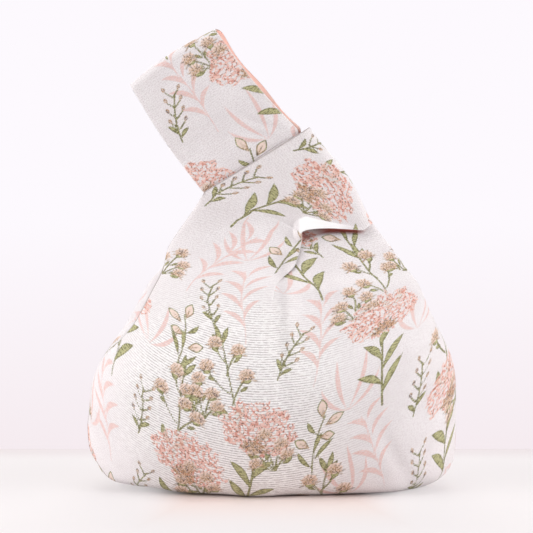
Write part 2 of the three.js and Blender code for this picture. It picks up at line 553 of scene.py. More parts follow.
@dataclass
class FillShape:
    """How the filled cloth lies unevenly, in millimetres.

    Attributes:
        tucks: hollows over the foot and a fold beside the lower right corner.
        left: hollow below the left shoulder, the shoulder, the lower corner and the flank.
        right: the right flank, shoulder, and lower corner in two parts.
    """

    tucks: tuple[Tuck, ...] = (
        Tuck(26.0, 34.0, (5.0, 80.0), 9.0),
        Tuck(-45.0, 28.0, (5.0, 60.0), 8.0),
        Tuck(70.0, 7.0, (30.0, 62.0), 1.8, (8.0, 26.0), 0.45, 41.0),
    )
    left: tuple[Swell, ...] = (
        Swell(104.0, 20.0, 3.2), Swell(158.0, 24.0, -5.0), Swell(0.0, 10.0, -6.6), Swell(70.0, 20.0, -1.4),
    )
    right: tuple[Swell, ...] = (
        Swell(84.0, 26.0, 2.6), Swell(142.0, 26.0, 4.0), Swell(0.0, 10.0, 3.0), Swell(14.0, 10.0, 2.2),
    )
    side_reach: float = 70.0
    seam_share: float = 0.16
    seam_gap: float = 0.12
    wall: Pair = (2.0, 22.0)
    rows: Pair = (2.0, 26.0)
    back_phase: float = 2.1
    broad: float = 1.5
    broad_lengths: Waves = (31.0, 47.0, -60.0, 29.0)
    broad_phase: float = 0.6
    small: float = 0.4
    small_lengths: Waves = (12.5, -19.0, 27.0, 16.0)
    neck_rows: tuple[Pair, Pair] = ((16.0, 112.0), (138.0, 158.0))
    valley: float = 6.0
    valley_line: Pair = (6.0, 8.0)
    valley_slant: float = 0.04
    valley_level: float = 150.0
    ridge: float = 1.6
    ridge_line: Pair = (-16.0, 13.0)
    rim: float = 0.8
    rim_height: float = 9.0
    rim_wall: Pair = (20.0, 32.0)
    rim_lengths: Pair = (7.5, 19.0)
    rim_drift: float = 0.8
    corner_lift: float = 3.2
    corner_from: Pair = (44.0, 74.0)
    corner_rows: Pair = (6.0, 34.0)

    def settle(self, grid: Array, face: Face, sewn: tuple[bool, bool]) -> Array:
        """Adds the soft unevenness of filled cloth to a grid.

        Args:
            grid: grid as x, depth and z.
            face: face of the bag that it lies on.
            sewn: whether its first and its last column are sewn in a side seam.

        Returns:
            Grid as x, y and z.
        """
        x, deep, z = grid[..., 0], grid[..., 1], grid[..., 2]
        share = np.linspace(0.0, 1.0, grid.shape[1])
        free = np.ones_like(share)
        for is_sewn, from_seam in zip(sewn, (share, 1.0 - share)):
            free = free * (ease(0.0, self.seam_share, from_seam) if is_sewn else 1.0)
        fill = ease(*self.wall, deep) * ease(*self.rows, z) * free
        phase = 0.0 if face is Face.FRONT else self.back_phase
        broad = crossed(x, z, self.broad_lengths, self.broad_phase + phase, phase)
        small = crossed(x, z, self.small_lengths, phase, 0.0)
        deep = deep + fill * (self.broad * broad + self.small * small)
        valley = bell(x - self.valley_slant * (self.valley_level - z), *self.valley_line)
        below = ease(*self.neck_rows[0], z) * (1.0 - ease(*self.neck_rows[1], z))
        deep = deep + below * (self.ridge * bell(x, *self.ridge_line) - self.valley * valley)
        for tuck in self.tucks:
            deep = tuck.press(x, deep, z)
        rim = (1.0 - ease(0.0, self.rim_height, z)) * ease(*self.rim_wall, deep)
        wave = np.sin(x / self.rim_lengths[0] + self.rim_drift * np.sin(x / self.rim_lengths[1]))
        z = z + rim * self.rim * (0.5 + 0.5 * wave)
        to_left = ease(0.0, self.side_reach, -x) * sum(swell.at(z) for swell in self.left)
        to_right = ease(0.0, self.side_reach, x) * sum(swell.at(z) for swell in self.right)
        lift = self.corner_lift * ease(*self.corner_from, -x) * (1.0 - ease(*self.corner_rows, z))
        return np.stack([x + to_left + to_right, face.value * (deep + self.seam_gap), z + lift], axis=-1)


@dataclass
class Panel:
    """One cloth panel: half of the pouch cut in one with its two straps.

    Attributes:
        face: face of the bag that it lies on.
        layer: layer of cloth that it is.
        sag: how the plants' rows hang towards the seams, for each square millimetre across.
        sag_rows: places along the cloth between which the sag ends.
        drift: how far the plants spread apart on the two straps.
        drift_over: length of strap over which they spread.
    """

    face: Face
    layer: Layer
    pouch: PouchShape = field(default_factory=PouchShape)
    collar: CollarShape = field(default_factory=CollarShape)
    root: RootShape = field(default_factory=RootShape)
    handle: HandleShape = field(default_factory=HandleShape)
    fill: FillShape = field(default_factory=FillShape)
    sag: float = 0.0034
    sag_rows: Pair = (150.0, 230.0)
    drift: float = 9.0
    drift_over: float = 70.0

    def theta(self) -> Array:
        """Angles of the columns, evenly spaced round the section below the shoulder.

        Returns:
            Angles from the left seam to the right one, with close columns by the seams.
        """
        fine = np.linspace(math.pi, 0.0, RING_POINTS)
        ring = self.pouch.level(fine, np.full(len(fine), self.pouch.girth_height), np.ones(len(fine)), 0.0)
        run = row_lengths(ring[None])[0]
        even = np.linspace(0.0, run[-1], self.layer.rows(run[-1]) + 1)
        close = np.array(self.pouch.seam_columns)
        places = np.sort(np.concatenate([even, close, run[-1] - close]))
        return np.interp(places, run, fine)

    def pouch_grid(self, theta: Array) -> Array:
        """Grid of the pouch from the floor seam up to the split.

        Args:
            theta: angles of the columns.

        Returns:
            The grid as x, depth and z.
        """
        p = self.pouch
        floor = np.linspace(0.0, 1.0, max(p.floor_rows, self.layer.rows(p.foot_depth / 4.0)))[:-1]
        fine = np.linspace(0.0, p.split, WALL_POINTS)
        arc = p.level(np.full(len(fine), math.pi / 2.0), fine, np.ones(len(fine)), 0.0)
        run = column_lengths(arc[:, None], 0)
        heights = np.interp(np.linspace(0.0, run[-1], self.layer.rows(run[-1])), run, fine)
        z = np.concatenate([np.zeros(len(floor)), heights])[:, None]
        spread = np.concatenate([floor, np.ones(len(heights))])[:, None]
        return p.level(theta[None, :], z, spread, self.layer.inset, self.face.value)

    def split_line(self, theta: Array) -> Array:
        """First row of a strap, on the split, as x, depth and z."""
        level = np.full(len(theta), self.pouch.split)
        return self.pouch.level(theta, level, np.ones(len(theta)), self.layer.inset, self.face.value)

    def leave_pouch(self, strap: Array, theta: Array, share: Array) -> Array:
        """Strap that starts on the pouch's section and leaves it.

        Args:
            strap: the strap's own grid as x, depth and z.
            theta: angles of its columns.
            share: for each row, 0 on the section and 1 off it.

        Returns:
            The grid as x, depth and z.
        """
        z = strap[..., 2]
        section = self.pouch.level(theta[None, :], z, np.ones_like(z), self.layer.inset, self.face.value)
        return mix(section, strap, share[..., None])

    def short_strap(self, theta: Array) -> Array:
        """Grid of the short strap: left shoulder, flat collar and folded end.

        Args:
            theta: angles of the columns from the left seam to the neckline.

        Returns:
            The grid as x, depth and z.
        """
        c = self.collar
        base = self.split_line(theta)
        u = row_lengths(base[None])[0]
        u = u / u[-1]
        lip = np.array([c.lip_x, c.lip_z])
        notch = np.array(c.place(-c.length / 2.0, c.width / 2.0 - c.top_drop[0]))
        seam, neck = base[0, [0, 2]], base[-1, [0, 2]]
        control = mix(neck, lip, 0.5) + np.array([c.neck_bow, 0.0])
        f = np.linspace(0.0, 1.0, self.layer.rows(c.rise))[1:, None]
        outer = mix(seam, notch, f)
        inner = (1.0 - f) ** 2 * neck + 2.0 * f * (1.0 - f) * control + f**2 * lip
        x, z = (mix(outer[:, i : i + 1], inner[:, i : i + 1], u) for i in (0, 1))
        past_crease = c.crease_turn * (1.0 - f / mix(*c.crease, u)[None, :])
        settled = 1.0 - np.logaddexp(0.0, past_crease) / c.crease_turn
        flat = ease(c.flat_from, 1.0, f)
        rounded = mix(round_edge(u, mix(*c.edge_power, f)), 1.0, flat)
        deep = mix(base[:, 1][None, :], (c.depth - self.layer.inset) * rounded, settled)
        x = x + self.layer.inset * (1.0 - flat) * (1.0 - u)
        rise = self.leave_pouch(np.stack([x, deep, z], axis=-1), theta, ease(*c.leave, f))
        return np.concatenate([base[None], rise, self.collar_grid(u)])

    def collar_grid(self, u: Array) -> Array:
        """Grid of the flat collar and its folded end.

        Args:
            u: shares of the columns from the top edge to the lower one.

        Returns:
            The grid as x, depth and z.
        """
        c = self.collar
        half, radius = c.length / 2.0, c.depth - self.layer.inset
        bend = half - c.depth
        low_along = -c.width / 2.0 - c.corner_drop
        k = np.linspace(0.0, 1.0, self.layer.rows(bend + half))[1:, None]
        top = np.concatenate(c.place(mix(-half, bend, k), c.width / 2.0 - mix(*c.top_drop, k)), axis=1)
        low = mix(np.array([c.lip_x, c.lip_z]), np.array(c.place(bend, low_along)), k)
        low[:, 1] += c.edge_rise * np.sin(math.pi * k[:, 0] ** c.edge_rise_power)
        if self.layer.inset > 0.0:
            low[:, 1] -= c.peep * np.sqrt(np.abs(np.sin(math.pi * k[:, 0])))
        bow = c.side_bow * np.sin(math.pi * u ** c.side_bow_power[0]) ** c.side_bow_power[1]
        lean = math.radians(c.lean)
        x = mix(top[:, :1], low[:, :1], u) + bow * math.cos(lean) * k**2
        z = mix(top[:, 1:], low[:, 1:], u) + bow * math.sin(lean) * k**2
        flat = np.stack([x, np.full_like(x, radius), z], axis=-1)
        turns = np.linspace(0.0, math.pi / 2.0, max(c.end_rows, self.layer.rows(1.5 * c.depth)))[1:, None]
        along = mix(c.width / 2.0 - c.top_drop[1], low_along, u)[None, :]
        end_x, end_z = c.place(bend + radius * np.sin(turns) + bow, along)
        end_deep = np.broadcast_to(radius * np.cos(turns), end_x.shape)
        return np.concatenate([flat, np.stack([end_x, end_deep, end_z], axis=-1)])

    def flare_lip(self, grid: Array) -> tuple[Array, Array]:
        """Turns the neckline edge under the collar out into its pale lip.

        Args:
            grid: the short strap as x, depth and z.

        Returns:
            The grid with its lip, and a mask of the lip's painted highlight: no plants and a near-white
            colour there.
        """
        c = self.collar
        flare = c.lip_flare * (c.peep_flare if self.layer.inset > 0.0 else 1.0)
        edge = grid[self.layer.rows(c.rise) - 1 :, -1]
        past = grid[..., 0] - c.lip_x
        rise = grid[..., 2] - np.interp(grid[..., 0], edge[:, 0], edge[:, 2])
        before, beneath = c.lip_round
        gap = np.hypot(before * np.minimum(past, 0.0), np.where(rise > 0.0, rise, beneath * rise))
        size = np.exp(-np.maximum(past - c.lip_full, 0.0) / c.lip_fade)
        out = np.clip(1.0 - gap / (c.lip_end + (c.lip_reach - c.lip_end) * size), 0.0, 1.0)
        grid = grid.copy()
        grid[..., 1] += flare * size * out * ease(0.0, c.lip_soft, out)
        # painted highlight on the lip's upturned face: plants left off, near-white colour
        bare = ease(0.0, c.bare_soft, out) * ease(*c.bare_size, size)
        return grid, bare * ease(*c.bare_past, past) * ease(*c.bare_rise, rise)

    def root_rise(self, theta: Array, u: Array, edge: Array) -> Array:
        """Grid of the root from the split up to the collar.

        Args:
            theta: angles of the columns from the neckline to the right seam.
            u: shares of the columns from the right seam to the neckline.
            edge: the short strap's neckline below its lip, which the root lies under.

        Returns:
            The grid as x, depth and z, without the split line.
        """
        c, r = self.collar, self.root
        base = self.split_line(theta)
        neck, seam = base[0, [0, 2]], base[-1, [0, 2]]
        corner = np.array(c.place(c.length / 2.0, -c.width / 2.0))
        f = np.linspace(0.0, 1.0, self.layer.rows(r.rise))[1:, None]
        right = mix(seam, mix(corner, seam, r.knee), f)
        left = mix(neck, np.array(self.handle.place(-r.half, r.inner_start)), f)
        x, z = (mix(right[:, i : i + 1], left[:, i : i + 1], u) for i in (0, 1))
        sink = r.sink * ease(*r.sink_rows, f)
        goal = (r.front - sink - self.layer.inset) * round_edge(u, mix(*r.power, f))
        deep = mix(base[:, 1][None, :], goal, f**r.settle)
        strap = np.stack([x - self.layer.inset * (1.0 - u), deep, z], axis=-1)
        grid = self.leave_pouch(strap, theta, ease(*r.leave, f))
        height = grid[..., 2]
        beside = grid[..., 0] - np.interp(height, edge[:, 2], edge[:, 0])
        under = np.interp(height, edge[:, 2], edge[:, 1])
        under = under - r.gap * ease(*r.gap_rows, f) - sink - r.slope * np.maximum(-beside, 0.0)
        near = bell(np.maximum(beside, 0.0), 0.0, r.reach) * ease(0.0, r.near_from, f)
        near = near * (1.0 - ease(0.0, r.near_over, height - edge[-1, 2]))
        grid[..., 1] = mix(grid[..., 1], under, near)
        return grid

    def root_strap(self, theta: Array, short: Array) -> tuple[Array, Array]:
        """Grid of the long strap's root, from the right shoulder into the collar.

        Args:
            theta: angles of the columns from the neckline to the right seam.
            short: the short strap before its lip is turned out.

        Returns:
            The grid as x, depth and z, and a mask of the slit, where the lining's colour is painted in
            darker as its shade.
        """
        c, r = self.collar, self.root
        turn = self.layer.rows(c.rise)
        lip = short[turn - 1 :, -1]
        base = self.split_line(theta)
        u = np.clip((base[:, 0] - base[-1, 0]) / (base[0, 0] - base[-1, 0]), 0.0, 1.0)
        k = np.linspace(0.0, 1.0, self.layer.rows(r.tongue))[:, None]
        right = self.handle.place(r.half, mix(*r.tongue_right, k))
        left = self.handle.place(-r.half, mix(*r.tongue_left, k))
        tongue_x, tongue_z = (mix(a, b, u) for a, b in zip(right, left))
        inner = mix(r.front - r.sink, r.depth, ease(0.0, r.tongue_turn, k)) - self.layer.inset
        tongue = np.stack([tongue_x, np.broadcast_to(inner, tongue_x.shape), tongue_z], axis=-1)
        grid = np.concatenate([base[None], self.root_rise(theta, u, short[:turn, -1]), tongue])
        x, deep = grid[..., 0], grid[..., 1]
        rise = grid[..., 2] - np.interp(x, lip[:, 0], lip[:, 2])
        rise = rise + r.slit_drop * np.exp(-np.maximum(x - c.lip_x, 0.0) / c.lip_fade)
        opens, shuts = np.array(r.slit_left) + lip[0, 0], np.array(r.slit_right) + lip[-1, 0]
        inside = ease(*opens, x) * (1.0 - ease(*shuts, x))
        ledge = ease(*r.ledge_rows, rise) * inside
        grid[..., 1] = mix(deep, np.minimum(deep, r.ledge_depth - self.layer.inset), ledge)
        # painted shade: the lining's colour, darkened, shows on the ledge under the lip
        return grid, ease(*r.slit_rows, rise) * (1.0 - ease(*r.slit_fade, rise)) * inside

    def seam_mask(self, grid: Array, sewn: tuple[bool, bool]) -> Array:
        """Mask of the painted shade in the side seams' crease, along a grid's first and last column.

        Args:
            grid: grid as x, depth and z.
            sewn: whether its first and its last column are sewn.

        Returns:
            Mask for each row and column, fainter at the right.
        """
        run, line = row_lengths(grid), self.pouch.seam_line
        left = bell(run, 0.0, line) * sewn[0]
        right = bell(run[:, -1:] - run, 0.0, line) * sewn[1]
        return np.maximum(left, self.pouch.seam_right * right)

    def patches(self) -> list[Patch]:
        """The panel's pouch and two straps as grids that share the split line.

        Returns:
            Patches in the order pouch, short strap, long strap's root.
        """
        theta = self.theta()
        pouch = self.pouch_grid(theta)
        middle = int(np.argmin(np.abs(pouch[-1, :, 0])))
        short = self.short_strap(theta[: middle + 1])
        root, slit = self.root_strap(theta[middle:], short)
        short, lip = self.flare_lip(short)
        run = row_lengths(pouch)
        across = run - run[:, middle : middle + 1]
        along = np.broadcast_to(column_lengths(pouch, middle)[:, None], across.shape)
        flats = [np.stack([across, along], axis=-1)]
        for grid, first, drift in ((short, 0, -self.drift), (root, -1, self.drift)):
            centre = (across[-1, first] + across[-1, middle]) / 2.0
            flats.append(strap_flat(grid, centre, along[-1, 0], drift, self.drift_over))
        for flat in flats:
            flat[..., 1] -= self.sag * flat[..., 0] ** 2 * (1.0 - ease(*self.sag_rows, flat[..., 1]))
        grids = (pouch, short, root)
        hems = [np.zeros(grid.shape[:2]) for grid in grids]
        hems[1][1:, -1] = hems[1][self.layer.rows(self.collar.rise) :, 0] = 1.0
        hems[2][1:, 0] = hems[2][self.layer.rows(self.root.rise) :, -1] = 1.0
        masks: tuple[dict[Trait, Array], ...] = ({}, {Trait.BARE: lip}, {Trait.SLIT: slit})
        sides = ((True, True), (True, False), (False, True))
        made = []
        for grid, flat, hem, traits, sewn in zip(grids, flats, hems, masks, sides):
            # painted shade in the crease of the side seams
            seam = self.seam_mask(grid, sewn) * (1.0 - hem)
            traits = {**traits, Trait.HEM: hem, Trait.SEAM: seam}
            made.append(Patch(self.fill.settle(grid, self.face, sewn), flat, traits))
        return made


@dataclass
class LongHandle:
    """The long handle above the collar: one cloth strap on each face, sewn at the top."""

    face: Face
    layer: Layer
    shape: HandleShape = field(default_factory=HandleShape)

    def sides(self, t: Array, shut: Array) -> tuple[Array, Array, Array]:
        """Left and right edge of the strap in the front view.

        Args:
            t: places along the strap from the collar's edge.
            shut: 1 below the top, down to 0 at the top's seam.

        Returns:
            The two edges as x and z, and a mask of the tongue inside the collar.
        """
        h, trim = self.shape, self.layer.trim
        share = t / h.reach
        left = mix(np.array(h.foot_left), np.array(h.top_left), share)
        right = mix(np.array(h.foot_right), np.array(h.top_right), share)
        cross = (right - left) / np.linalg.norm(right - left, axis=1, keepdims=True)
        hidden = 1.0 - ease(*h.tongue_rows, t)
        bow = np.sin(math.pi * np.clip(share, 0.0, 1.0))
        left = left + cross * (trim + h.tongue_in[0] * hidden - h.side_bow[0] * bow)
        right = right - cross * (trim + h.tongue_in[1] * hidden + h.side_bow[1] * bow)
        if self.face is Face.BACK:
            turn = 2.0 * math.pi * (share - h.back_wave_at) / h.back_wave_length
            wave = 1.0 - h.back_wave + h.back_wave * np.cos(turn)
            right = right + cross * h.back_offset * (1.0 - hidden) * wave * shut
        return left, right, hidden

    def edge_depth(self, u: Array, t: Array, hidden: Array) -> Array:
        """Depth that the strap's edges and creases add.

        Args:
            u: shares across the strap.
            t: places along the strap from the collar's edge.
            hidden: mask of the tongue inside the collar.

        Returns:
            Depths for each row and column.
        """
        h = self.shape
        held = 1.0 - ease(h.slide + h.held_rows[0], h.slide + h.held_rows[1], t)
        if self.face is Face.FRONT:
            along, side = h.crease_turn
            over = along * h.width * u + side * t
            down = along * t - side * h.width * u
            window = bell(over, h.crease_at[0], h.crease_reach[0])
            window = window * bell(down, h.crease_at[1], h.crease_reach[1])
            wave = 0.5 + 0.5 * np.cos(2.0 * math.pi * (over - h.crease_start) / h.crease_pitch)
            edge = -h.edge_squeeze * ease(h.edge_share, 1.0, u) * held - h.crease_depth * wave * window
        else:
            pinch = h.edge_curl * ease(h.curl_share, 1.0, u)
            pinch = pinch - h.edge_pinch * ease(h.edge_share, h.pinch_share, u)
            curl = h.back_curl * ease(h.back_curl_share, 1.0, u)
            edge = mix(curl, pinch, held) * (1.0 - hidden)
        return edge - h.edge_squeeze * (1.0 - ease(0.0, h.left_share, u)) * held

    def patch(self) -> Patch:
        """Grid of one strap of the handle.

        Returns:
            The patch.
        """
        h = self.shape
        open_rows = np.linspace(-h.tongue, h.reach - h.closing, self.layer.rows(h.reach + h.tongue))
        turns = np.linspace(0.0, math.pi / 2.0, max(h.closing_rows, self.layer.rows(h.closing_run)))[1:]
        shut = np.concatenate([np.ones(len(open_rows)), np.cos(turns)])[:, None]
        closing = h.closing - self.layer.inset * h.closing_inset
        t = np.concatenate([open_rows, h.reach - h.closing + closing * np.sin(turns)])[:, None]
        share = t / h.reach
        left, right, hidden = self.sides(t, shut)
        u = np.linspace(0.0, 1.0, self.layer.rows(h.width) + 1)[None, :]
        crown = h.crown * ease(h.crown_from, 1.0, share) * np.sin(math.pi * u)
        lean = math.radians(h.lean)
        x = mix(left[:, :1], right[:, :1], u) - crown * math.sin(lean)
        z = mix(left[:, 1:], right[:, 1:], u) + crown * math.cos(lean)
        loose = ease(h.slide, h.slide + h.loose_over, t)
        swell = h.bulge * np.sin(math.pi * np.clip(share, 0.0, 1.0)) ** 2 * loose
        ripple = h.ripple * np.sin(h.ripple_turns[0] * u + h.ripple_turns[1] * share) * loose
        deep = (h.depth + swell + ripple + self.edge_depth(u, t, hidden) - self.layer.inset) * shut
        points = np.stack([x, self.face.value * (deep + h.seam_gap + h.strap_gap * shut), z], axis=-1)
        hem = np.zeros(points.shape[:2])
        hem[: len(open_rows), 0] = hem[: len(open_rows), -1] = 1.0
        return Patch(points, strap_flat(points, h.flat_centre, h.flat_start), {Trait.HEM: hem})


class ClothBuilder:
    """Makes one mesh of cloth out of grids that share edges."""

    weld = 2e-6
    hem_turns = (0.35, 0.65)

    def __init__(self) -> None:
        """Starts an empty mesh with layers for the flat cloth and for each trait."""
        self.bm = bmesh.new()
        layers = self.bm.verts.layers
        self.flat = layers.float_vector.new("flat")
        self.traits = {trait: layers.float.new(trait.value) for trait in Trait}

    def add(self, patch: Patch) -> None:
        """Lays a grid of cloth on a patch's points.

        Args:
            patch: points and flat places, in millimetres.
        """
        rows, columns = patch.points.shape[:2]
        made = bmesh.ops.create_grid(self.bm, x_segments=columns - 1, y_segments=rows - 1, size=1.0)
        for vert in made["verts"]:
            column = round((vert.co.x + 1.0) / 2.0 * (columns - 1))
            row = round((vert.co.y + 1.0) / 2.0 * (rows - 1))
            vert.co = Vector(patch.points[row, column]) * MM
            vert[self.flat] = Vector((*patch.flat[row, column], 0.0))
            for trait, values in patch.traits.items():
                vert[self.traits[trait]] = float(values[row, column])

    def join(self, side: float) -> None:
        """Merges the shared edges and turns every face outwards.

        Args:
            side: sign of the face's side along Y.
        """
        bmesh.ops.remove_doubles(self.bm, verts=self.bm.verts, dist=self.weld)
        self.bm.normal_update()
        leaning = sum(f.normal.y * f.calc_area() for f in self.bm.faces)
        if leaning * side < 0.0:
            bmesh.ops.reverse_faces(self.bm, faces=self.bm.faces)

    def turn_hems(self, side: float, depth: float) -> None:
        """Turns the free edges in, as a lined edge is turned.

        Args:
            side: sign of the face's side along Y.
            depth: how far the edge turns in, in metres.
        """
        hem = self.traits[Trait.HEM]
        free = [e for e in self.bm.edges if e.is_boundary and min(v[hem] for v in e.verts) > 0.5]
        for share in self.hem_turns:
            made = bmesh.ops.extrude_edge_only(self.bm, edges=free)["geom"]
            verts = [g for g in made if isinstance(g, bmesh.types.BMVert)]
            move = Vector((0.0, -side * depth * share, 0.0))
            bmesh.ops.translate(self.bm, verts=verts, vec=move)
            free = [g for g in made if isinstance(g, bmesh.types.BMEdge) and g.is_boundary]

    def finish(self, name: str) -> bpy.types.Object:
        """Makes the object of the cloth.

        Args:
            name: name of the piece.

        Returns:
            The linked object.
        """
        self.bm.normal_update()
        mesh = bpy.data.meshes.new(name)
        self.bm.to_mesh(mesh)
        self.bm.free()
        mesh.shade_smooth()
        piece = bpy.data.objects.new(name, mesh)
        bpy.context.scene.collection.objects.link(piece)
        return piece


@dataclass
class Stroke:
    """One drawn mark: a curved line that may swell like a leaf.

    Attributes:
        ink: yarn that draws it.
        base: start on the flat cloth, in millimetres.
        angle: direction in degrees from straight up, to the left.
        length: length of the mark.
        width: full width where it is widest.
        bend: sideways bow at its middle.
        swell: 0 for an even line, 1 for a leaf that is pointed at both ends.
        leaf_powers: where a leaf is widest, and how pointed it is.
    """

    ink: Ink
    base: Pair
    angle: float
    length: float
    width: float
    bend: float = 0.0
    swell: float = 1.0
    leaf_powers: Pair = (1.15, 1.1)

    def distance(self, du: Array, dv: Array) -> Array:
        """Signed distance of points to the mark, less than 0 inside.

        Args:
            du: places across from the base.
            dv: places along from the base.

        Returns:
            Distances in millimetres.
        """
        across, along = own_axes(du, dv, self.angle)
        s = np.clip(along / self.length, 0.0, 1.0)
        across = across - self.bend * 4.0 * s * (1.0 - s)
        leaf = np.maximum(np.sin(math.pi * s ** self.leaf_powers[0]), 0.0) ** self.leaf_powers[1]
        half = self.width / 2.0 * mix(1.0, leaf, self.swell)
        past = np.maximum(np.abs(along - self.length / 2.0) - self.length / 2.0, 0.0)
        return np.hypot(np.abs(across), past) - half


@dataclass
class Dome:
    """A round head of blossom with an uneven rim.

    Attributes:
        ink: yarn that draws it.
        base: its middle on the flat cloth, in millimetres.
        wide: half its width.
        high: its height above the middle.
        angle: direction in degrees from straight up, to the left.
        under: share of the height that it has below the middle.
        scallops: size, count and phase of the rim's waves.
    """

    ink: Ink
    base: Pair
    wide: float
    high: float
    angle: float = 0.0
    under: float = 0.62
    scallops: tuple[tuple[float, float, float], ...] = ((0.05, 9.0, 0.0), (0.035, 17.0, 1.0))

    def distance(self, du: Array, dv: Array) -> Array:
        """Signed distance of points to the head, less than 0 inside.

        Args:
            du: places across from the base.
            dv: places along from the base.

        Returns:
            Distances in millimetres.
        """
        across, along = own_axes(du, dv, self.angle)
        high = np.where(along < 0.0, self.under * self.high, self.high)
        ring = np.hypot(across / self.wide, along / high)
        turn = np.arctan2(along, across)
        rim = sum((size * np.sin(count * turn + phase) for size, count, phase in self.scallops), 1.0)
        return (ring - rim) * min(self.wide, self.high)


Mark = Stroke | Dome


@dataclass
class Plant:
    """A plant drawn upright from its base; it can be turned, mirrored and moved."""

    marks: list[Mark] = field(default_factory=list)

    def line(self, ink: Ink, u: float, v: float, angle: float, length: float, width: float,
             bend: float = 0.0, swell: float = 1.0) -> None:
        """Adds a stroke."""
        self.marks.append(Stroke(ink, (u, v), angle, length, width, bend, swell))

    def head(self, ink: Ink, u: float, v: float, wide: float, high: float) -> None:
        """Adds a round head."""
        self.marks.append(Dome(ink, (u, v), wide, high))

    def daisy(self, u: float, v: float, size: float, petals: int) -> None:
        """Adds a small flower with a seeded middle.

        Args:
            u: place across.
            v: place along.
            size: its size in millimetres.
            petals: number of petals.
        """
        self.head(Ink.LEAF, u, v - 0.55 * size, 0.5 * size, 0.5 * size)
        self.head(Ink.POD, u, v + 0.1 * size, 0.95 * size, 0.85 * size)
        for i in range(petals):
            fan = 230.0 * (i / (petals - 1) - 0.5)
            length = size * (1.0 + 0.3 * (i % 2))
            self.line(Ink.BUD, u, v - 0.2 * size, fan, length, 0.24 * size, 0.0, 0.3)

    def placed(self, u: float, v: float, angle: float, flip: bool) -> list[Mark]:
        """Marks of the plant, turned and moved to its place on the cloth.

        Args:
            u: place across.
            v: place along.
            angle: turn in degrees, to the left.
            flip: mirrors the plant first.

        Returns:
            New marks.
        """
        sign = -1.0 if flip else 1.0
        out: list[Mark] = []
        for mark in self.marks:
            base = turned((u, v), angle, mark.base[0] * sign, mark.base[1])
            new = replace(mark, base=base, angle=mark.angle * sign + angle)
            if isinstance(new, Stroke):
                new.bend = new.bend * sign
            out.append(new)
        return out


def bloom_plant() -> Plant:
    """A tall stem with paired leaves and a round head of blossom.

    Returns:
        The plant.
    """
    p = Plant()
    p.line(Ink.LEAF, 0, 0, 3, 55, 1.4, 1.6, 0)
    for v, left, right, size in ((7, 38, -50, 24), (23, 48, -34, 23), (39, 40, -46, 14)):
        p.line(Ink.LEAF, 0.5, v, left, size, 5.2, 2.4)
        p.line(Ink.LEAF, 0, v + 6, right, size * 0.88, 4.6, -2.2)
    for angle in (-78, -50, -24, 4, 30, 56, 80):
        p.line(Ink.BUD, -3, 49, angle, 10.5, 2.4)
    p.head(Ink.BLOOM, -3, 60, 24.0, 20.5)
    return p


def sprig_plant() -> Plant:
    """A slender branching sprig with small flowers at its tips.

    Returns:
        The plant.
    """
    p = Plant()
    p.line(Ink.LEAF, 0, 0, -3, 60, 1.2, -2.2, 0)
    for v, angle, size in ((18, 34, 22), (27, -38, 21), (38, 30, 17), (46, -30, 14)):
        p.line(Ink.LEAF, 1, v, angle, size, 1.15, 1.2, 0)
        tip = math.radians(angle)
        u, top = 1 - size * math.sin(tip), v + size * math.cos(tip)
        p.daisy(u, top, 5.2, 10)
        p.line(Ink.LEAF, 0.5 + u / 2.0, (v + top) / 2.0, angle * 1.9, 7, 2.4)
    for v, angle, size in ((5, 30, 17), (9, -34, 16)):
        p.line(Ink.LEAF, 0.5, v, angle, size, 4.4, 1.8)
    for angle, size in ((22, 13), (-16, 15), (-44, 11)):
        p.line(Ink.LEAF, 2.5, 57, angle, size, 3.6, 0.6)
    return p


def frond_plant() -> Plant:
    """A pale feathery frond.

    Returns:
        The plant.
    """
    p = Plant()
    p.line(Ink.FROND, 0, 0, 6, 58, 0.9, 3.0, 0.2)
    for i in range(4):
        v = 10.0 + 12.0 * i
        size = 22.0 - 2.4 * abs(i - 1)
        u = -0.1 * v + 3.0 * 4.0 * (v / 58.0) * (1.0 - v / 58.0)
        p.line(Ink.FROND, u, v, 46, size, 3.4, 3.4, 0.9)
        p.line(Ink.FROND, u, v + 6.0, -42, size * 0.9, 3.0, -3.4, 0.9)
    return p


def pod_plant() -> Plant:
    """A twig with outlined pods and narrow leaves.

    Returns:
        The plant.
    """
    p = Plant()
    p.line(Ink.LEAF, 0, 0, 10, 38, 1.1, 2.0, 0)
    for u, v, angle, size in ((-7, 31, 62, 13), (-5, 36, -8, 13), (2, 18, -58, 12), (-4, 24, 88, 10)):
        a = math.radians(angle)
        p.line(Ink.LEAF, u, v, angle, size, 6.2)
        p.line(Ink.POD, u - 0.9 * math.sin(a), v + 0.9 * math.cos(a), angle, size - 2.0, 4.8)
        for turn in (-24, 0, 24):
            p.line(Ink.BUD, u, v, angle + turn, size * 0.62, 1.0, 0.0, 0.4)
    for v, angle, size in ((9, 44, 18), (4, -38, 17), (26, -36, 12), (15, 20, 13)):
        p.line(Ink.LEAF, -0.1 * v, v, angle, size, 3.1, 1.2)
    return p


def spray_plant() -> Plant:
    """A low spray of small seeded flowers.

    Returns:
        The plant.
    """
    p = Plant()
    for angle, size in ((-52, 13), (-24, 18), (4, 24), (32, 17), (58, 12)):
        a = math.radians(angle)
        p.line(Ink.LEAF, 0, 0, angle, size, 1.1, 0.8, 0)
        p.daisy(-size * math.sin(a), size * math.cos(a), 4.8, 10)
        p.line(Ink.LEAF, -0.4 * size * math.sin(a), 0.4 * size * math.cos(a), angle + 34, 8, 2.2)
    return p


def plume_plant() -> Plant:
    """Long pale blades that bow apart.

    Returns:
        The plant.
    """
    p = Plant()
    for angle, size, bend in ((-38, 26, 3.5), (-10, 36, 2.4), (18, 38, -2.6), (46, 27, -3.5)):
        p.line(Ink.FROND, 0, 0, angle, size, 2.8, bend, 0.9)
    return p


